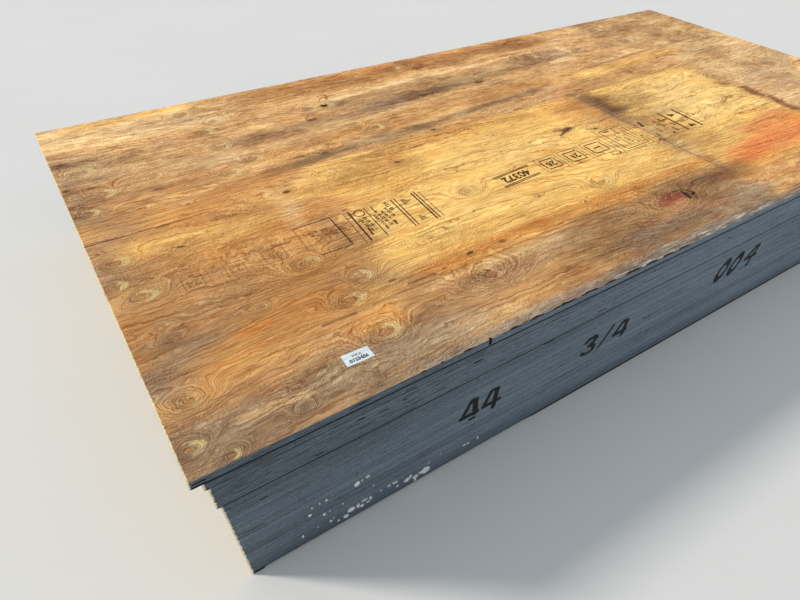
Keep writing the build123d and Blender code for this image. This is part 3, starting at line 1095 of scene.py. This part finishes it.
topSheet = {
    "grid": (348, 174),  # the squares along and across its face
    "knotRise": 0.0007,
    "grainRise": 0.0002,
    # chips out of the near arris: start from the left end, length, depth
    "chips": [
        (382, 13, 2.5), (423, 8, 2.5), (470, 25, 4), (572, 28, 3.5), (620, 37, 4), (677, 63, 4.5),
        (750, 50, 5), (815, 35, 4), (875, 50, 5), (935, 40, 4), (987, 36, 4.5), (1040, 34, 4),
    ],
    "notch": (530, 8, 5, 14),  # middle, width, depth, height
    # gaps at the near left corner: middle from the left end, ply down, length, and their outline
    "voids": [(14, 4, 22), (14, 6, 22)],
    "voidOutline": [(-1, -2), (1, -2), (0.84, 12), (-0.2, 27), (-0.88, 10)],
    # openings: middle along and away, length, width, turn in degrees
    "openings": [(1243, 135, 44, 12, 75), (1263, 130, 20, 8, 20), (738, 1006, 20, 17, 0), (1492, 724.5, 54, 4, -5)],
    # drying splits: length, from the near edge, and whether at the left end
    "splits": [(355, 630, True), (170, 524, False)],
    "splitMouth": 2.4,
    "chipRoughness": 0.00025,
    "openingRoughness": 0.0001,
    "edgeSeed": 31,
    "notchSeed": 77,
}
faceRise = topSheet["knotRise"] + topSheet["grainRise"]
facePlane = topHigh.z - faceRise


def onFace(along, away):
    return (cornerX + along * mm, cornerY + away * mm)


def arrisChip(index, start, run, depth):
    steps = max(6, round(run / 4))
    outline = []
    for step in range(steps + 1):
        share = step / steps
        bow = math.sin(math.pi * share) ** 0.6 * (0.75 + 0.6 * wave(start * 0.13 + step * 1.7, 2.0, 0))
        outline.append(onFace(start + run * share, max(bow * depth, 0.25)))
    outline += [onFace(start + run, -3), onFace(start, -3)]
    deep = plyThickness * (1.0 + 0.5 * wave(start * 0.3, 7.0, 0))
    return prism(outline, topZ - deep - faceRise * 0.5, topZ + overcut, topSheet["chipRoughness"], index)


def arrisNotch():
    middle, run, depth, tall = topSheet["notch"]
    outline = [onFace(middle + share * run, inward) for share, inward in (
        (-0.55, -3), (0.6, -3), (0.35, depth), (-0.3, depth * 0.8))]
    return prism(outline, topZ - tall * mm, topZ + overcut, sheetShape["cutRoughness"], topSheet["notchSeed"])


def faceOpening(index, midX, midY, long, wide, turn, corners=26):
    # a ragged oval through the face ply
    lean = math.radians(turn)
    outline = []
    for corner in range(corners):
        angle = 2 * math.pi * corner / corners
        swing = 1 + 0.3 * wave(math.cos(angle) * 1.6, math.sin(angle) * 1.6, index + 5.3)
        swing += 0.25 * wave(math.cos(angle) * 5.0, math.sin(angle) * 5.0, index + 1.7)
        ahead, aside = long / 2 * math.cos(angle) * swing, wide / 2 * math.sin(angle) * swing
        outline.append(onFace(midX + ahead * math.cos(lean) - aside * math.sin(lean),
                              midY + ahead * math.sin(lean) + aside * math.cos(lean)))
    # each has its own depth, so that no two floors meet
    deep = plyThickness + 0.0003 + index * 0.00002
    return prism(outline, topZ - deep, topZ + overcut, topSheet["openingRoughness"], index)


def dryingSplit(run, away, left, steps=16):
    # a long thin wedge that wanders; its mouth is at the sheet's end
    upper, lower = [], []
    for step in range(steps + 1):
        share = step / steps
        inward = share * run * mm - overcut
        px = topLow.x + inward if left else topHigh.x - inward
        py = cornerY + (away + wave(step * 0.45, 3.3 if left else 8.8, 0) * 1.6 * min(1, share * 3)) * mm
        half = max(topSheet["splitMouth"] * mm / 2 * (1 - share), 0.00008)
        upper.append((px, py + half))
        lower.append((px, py - half))
    return prism(lower + upper[::-1], topZ - plyThickness, topZ + overcut)


def weatheredSheet(name):
    # from the face down; the rows above the grid's plane are left out
    rows = [(height - sheetThickness, inset) for height, inset in edgeRows()[-2::-1]]
    rows = [(-faceRise, sheetShape["arris"])] + [row for row in rows if row[0] < -faceRise - sheetShape["level"]]
    start = ((topLow.x + topHigh.x) / 2, (topLow.y + topHigh.y) / 2, facePlane)
    piece = blankSheet(topLow, topHigh, start, topSheet["grid"], rows, keepGrid=True)
    settle(piece, name + "_weathered")

    # knots stand proud
    face = pointPlaces(piece)[:, 2] > facePlane - sheetShape["level"]
    rises = knotHeights(piece) * face
    group = piece.vertex_groups.new(name="knots")
    bands = 20
    for step in range(1, bands + 1):
        band = np.nonzero(face & (rises > (step - 0.5) / bands) & (rises <= (step + 0.5) / bands))[0]
        if len(band):
            group.add([int(i) for i in band], step / bands, "REPLACE")
    applyModifier(piece, "DISPLACE", direction="Z", vertex_group="knots", mid_level=0.0,
                  strength=topSheet["knotRise"])
    piece.vertex_groups.clear()
    roughenEdges(piece, topSheet["edgeSeed"])
    for material in (edgeFinishes["plain"], weatheredFinish, tornFinish, endFinish):
        piece.data.materials.append(material)

    cutters = [arrisChip(index, *chip) for index, chip in enumerate(topSheet["chips"])] + [arrisNotch()]
    cutters += [plyVoid(topLow, topHigh, middle, ply, run, topSheet["voidOutline"], ply)
                for middle, ply, run in topSheet["voids"]]
    cutters += [faceOpening(index, *opening) for index, opening in enumerate(topSheet["openings"])]
    cutters += [dryingSplit(*split) for split in topSheet["splits"]]
    cut(piece, cutters)
    dressFaces(piece, sheetShape["openDepth"])
    facePainter(piece)
    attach(piece, "root")
    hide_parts(name)


weatheredFinish = weatheredVeneer()
weatheredSheet(topName)
print("top sheet is made")


# Worn ink stamps on the top face. Places are in mm, as on the face.

stamps = {
    "thickness": 0.00006,
    "lift": 0.00002,
    "fontScale": 1.35,  # the font's size for a numeral as high as 1
    "inks": {"strong": (66, 50, 37), "faint": (98, 68, 42), "bleached": (104, 80, 58)},
    # strokes: from and to along and away, and the width
    "strong": [
        (516, 474, 507, 357, 4.5), (503, 473, 494, 357, 1.6), (554, 473, 546, 357, 2.6), (571, 470, 569, 443, 3),
        (625, 472, 617, 355, 3.4), (634, 472, 625, 355, 3.0), (682, 473, 674, 355, 4.2), (690, 473, 682, 355, 3.4),
        (700, 470, 693, 357, 2.0), (523, 400, 520, 372, 4), (562, 392, 560, 375, 4), (588, 396, 586, 380, 4),
        (467, 367, 471, 476, 3.0), (384, 476, 471, 478, 2.4), (372, 366, 466, 366, 2.0), (891, 428, 1012, 438, 3.0),
        (891, 423, 1012, 433, 3.0), (891, 383, 1013, 393, 3.0), (891, 378, 1013, 388, 3.0),
    ],
    "faint": [
        (396, 470, 390, 380, 2.0), (395, 452, 412, 454, 5), (484, 471, 482, 462, 5), (478, 474, 470, 366, 1.6),
        (1322, 470, 1344, 468, 6), (1361, 474, 1356, 440, 3), (1340, 444, 1337, 380, 3),
        (1372, 440, 1370, 378, 2.5), (1384, 470, 1381, 374, 2.5), (1567, 480, 1558, 362, 7),
        (1628, 478, 1619, 360, 8), (1644, 476, 1638, 372, 2.5), (1466, 468, 1456, 438, 8),
        (1500, 366, 1508, 372, 9), (1530, 372, 1526, 396, 6), (1548, 400, 1546, 420, 5), (1452, 392, 1449, 370, 5),
        (1480, 420, 1478, 388, 3),
    ],
    # frames: near left and far right corners, line width, lean of the upright lines
    "strongFrames": [
        (1297, 360, 1410, 486, 1.8, 4), (1311, 368, 1397, 478, 3.0, 4), (1047, 391, 1095, 434, 4, 0),
        (1130, 389, 1179, 434, 4, 1), (1215, 392, 1267, 439, 4, 1), (1036, 378, 1106, 446, 1.6, 1),
        (1119, 376, 1190, 446, 1.6, 1), (1205, 379, 1279, 451, 1.6, 2),
    ],
    "faintFrames": [
        (380, 365, 469, 476, 3.6, 5), (130, 390, 168, 435, 2.6, 1), (213, 388, 250, 433, 2.6, 1),
        (292, 393, 337, 436, 3.2, 1), (119, 380, 180, 444, 1.2, 1), (203, 379, 262, 442, 1.2, 1),
        (281, 382, 348, 445, 1.2, 1),
    ],
    # wedges: three corners
    "faintWedges": [
        ((643, 464), (668, 449), (643, 436)), ((645, 388), (662, 367), (638, 365)),
        ((1583, 464), (1608, 449), (1583, 440)), ((1588, 390), (1607, 371), (1580, 370)),
    ],
    # numbers: text, middle, height and turn in degrees
    "strongNumbers": [
        ("40372", 950, 409, 26, 184), ("26", 1071, 412, 22, 184), ("21", 1154, 411, 22, 184),
        ("1", 1241, 416, 24, 274), ("48 203 36 1", 527, 414, 8.5, 94), ("7 104 32 80", 538, 414, 8.5, 94),
        ("0 61 3804 7", 561, 420, 8.0, 94), ("6138 20 4 16", 573, 418, 9, 94), ("32 16 48 06", 585, 416, 8.5, 94),
        ("50 20 16", 597, 430, 8.5, 94), ("18 724", 608, 450, 10, 94),
    ],
    "faintNumbers": [
        ("20 48 16 7", 411, 424, 8, 94), ("4 0 32 18 60", 424, 422, 8, 94), ("61 20 7 4", 437, 426, 8, 94),
        ("38 2 16 05", 451, 424, 8, 94), ("24", 149, 412, 20, 184), ("23", 231, 410, 20, 184),
        ("25", 315, 414, 20, 184), ("316", 1326, 420, 9, 94), ("0 42 1", 1356, 405, 9, 94),
        ("4 20", 1512, 420, 10, 94), ("61 8", 1534, 440, 10, 94),
    ],
    "strongRings": [(535.5, 459, 12, 3)],  # middle along and away, radius, stroke
}


def wornInk(name, kind, strength, leftStrength):
    # the marks at the left end have worn away more
    finish = Finish(name, stamps["inks"])
    along = (finish.parts(finish.place)[0] - cornerX) * toMm
    strength = leftStrength + finish.fade(along, 350, 1300) * (strength - leftStrength)
    specks = finish.grain((300, 420), 3, 0.65)
    bands = finish.grain((30, 260), 2, 0.6)
    finish.colour = finish.blend(kind, "bleached", finish.fade(bands, 0.4, 0.7) * 0.6)
    shown = finish.fade(specks + bands.swing(0.4), 0.24, 0.48) * strength
    finish.join(finish.shader.inputs["Alpha"], shown)
    return finish.surface(0.85 + specks.swing(0.2), specks, 0.0002, specular=0.2)


def joined(pieces, name):
    choose(*pieces)
    bpy.ops.object.join()
    piece = bpy.context.object
    settle(piece, name)
    piece.data.materials.clear()
    return piece


def thinPlate(corners):
    low = facePlane + stamps["lift"]
    return prism([onFace(*corner) for corner in corners], low, low + stamps["thickness"])


def inkStroke(x0, y0, x1, y1, width):
    length = math.hypot(x1 - x0, y1 - y0)
    sideX, sideY = -(y1 - y0) / length * width / 2, (x1 - x0) / length * width / 2
    return thinPlate([(x0 - sideX, y0 - sideY), (x1 - sideX, y1 - sideY),
                      (x1 + sideX, y1 + sideY), (x0 + sideX, y0 + sideY)])


def inkFrame(x0, y0, x1, y1, width, lean):
    half = lean / 2
    return [
        inkStroke(x0 - half, y0, x1 - half, y0, width), inkStroke(x0 + half, y1, x1 + half, y1, width),
        inkStroke(x0 - half, y0 + width, x0 + half, y1 - width, width),
        inkStroke(x1 - half, y0 + width, x1 + half, y1 - width, width)]


def inkNumber(text, along, away, height, turn, thickness=stamps["thickness"], lift=0.0, weight=0.05):
    choose()
    bpy.ops.object.text_add(location=(*onFace(along, away), facePlane + stamps["lift"] + lift),
                            rotation=turned(0, 0, turn))
    lettering = bpy.context.object
    lettering.data.body = text
    lettering.data.size = height * mm * stamps["fontScale"]
    lettering.data.align_x = "CENTER"
    lettering.data.align_y = "CENTER"
    lettering.data.resolution_u = 3
    lettering.data.offset = height * mm * weight
    bpy.ops.object.convert(target="MESH")
    lettering = bpy.context.object
    editing()
    selectMesh()
    bpy.ops.mesh.remove_doubles(threshold=0.00001)
    extrudeUp(thickness)
    closeShape()
    return lettering


def inkRing(along, away, radius, stroke):
    # a short tube, with its inner wall
    inner, outer = radius - stroke / 2, radius + stroke / 2
    choose()
    bpy.ops.mesh.primitive_circle_add(
        vertices=28, radius=inner * mm, location=(*onFace(along, away), facePlane + stamps["lift"]))
    ring = bpy.context.object
    editing()
    selectMesh()
    extrudeUp(0)
    bpy.ops.transform.resize(value=(outer / inner, outer / inner, 1), center_override=ring.location)
    selectMesh()
    extrudeUp(stamps["thickness"])
    closeShape()
    return ring


def stampPiece(name, kind, strength, leftStrength):
    marks = [inkStroke(*stroke) for stroke in stamps[kind]]
    for frameLine in stamps[kind + "Frames"]:
        marks += inkFrame(*frameLine)
    marks += [thinPlate(wedge) for wedge in stamps.get(kind + "Wedges", [])]
    marks += [inkNumber(*number) for number in stamps[kind + "Numbers"]]
    marks += [inkRing(*ring) for ring in stamps.get(kind + "Rings", [])]
    piece = joined(marks, name)
    piece.data.materials.append(wornInk(name + "Ink", kind, strength, leftStrength))
    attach(piece, "root")


stampPiece("stampRow", "strong", 0.72, 0.6)
stampPiece("stampRowFaded", "faint", 0.62, 0.13)
print("stamps are made")


# The paper label

paperLabel = {
    "middle": (314.5, 85.5),
    "size": (51, 27),
    "grid": (26, 14),
    "turn": -1.5,
    "lift": 0.00005,
    "thickness": 0.00012,
    "curl": 0.0018,  # how sharply its near right corner lifts
    "curlStart": 0.45,  # where the lift begins, as a share of the sides
    "tones": {"paper": (232, 244, 252), "stain": (188, 190, 186), "print": (40, 46, 58), "wornPrint": (96, 102, 110)},
    # numbers: text, how far from the middle away from the near edge, height, weight
    "numbers": [("24 07 16", 4.5, 3.6, 0.07), ("0123456", -5.5, 7.4, 0.075)],
    "printThickness": 0.00003,
}


def makeLabel():
    midX, midY = paperLabel["middle"]
    width, height = [side * mm for side in paperLabel["size"]]
    columns, rows = paperLabel["grid"]
    choose()
    bpy.ops.mesh.primitive_grid_add(
        x_subdivisions=columns, y_subdivisions=rows, size=1,
        location=(*onFace(midX, midY), facePlane + paperLabel["lift"]), rotation=turned(0, 0, paperLabel["turn"]))
    piece = bpy.context.object
    piece.scale = (width, height, 1)
    bpy.ops.object.transform_apply(location=False, rotation=False, scale=True)
    for point in piece.data.vertices:
        corner = max(0.0, point.co.x / width - point.co.y / height - paperLabel["curlStart"])
        point.co.z += paperLabel["curl"] * corner ** 2
    editing()
    selectMesh()
    extrudeUp(paperLabel["thickness"])
    closeShape()
    settle(piece, "paperLabel")
    paper = Finish("labelPaper", paperLabel["tones"])
    fibres = paper.grain((700, 900, 700), 3, 0.6)
    stains = paper.grain((60, 80), 2, 0.5)
    paper.colour = paper.blend("paper", "stain", paper.fade(stains, 0.45, 0.75) * 0.5 + fibres.swing(0.2))
    piece.data.materials.append(paper.surface(0.6 + fibres.swing(0.2), fibres, 0.0001))
    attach(piece, "root")

    lift = paperLabel["thickness"] + paperLabel["lift"]
    numbers = joined([
        inkNumber(text, midX, midY + up, tall, paperLabel["turn"], paperLabel["printThickness"], lift, weight)
        for text, up, tall, weight in paperLabel["numbers"]], "paperLabel_numbers")
    ink = Finish("labelPrint", paperLabel["tones"])
    ink.colour = ink.blend("print", "wornPrint", ink.fade(ink.grain((600, 600), 2, 0.6), 0.4, 0.7))
    numbers.data.materials.append(ink.surface(0.7))
    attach(numbers, "root")


makeLabel()
print("label is made")
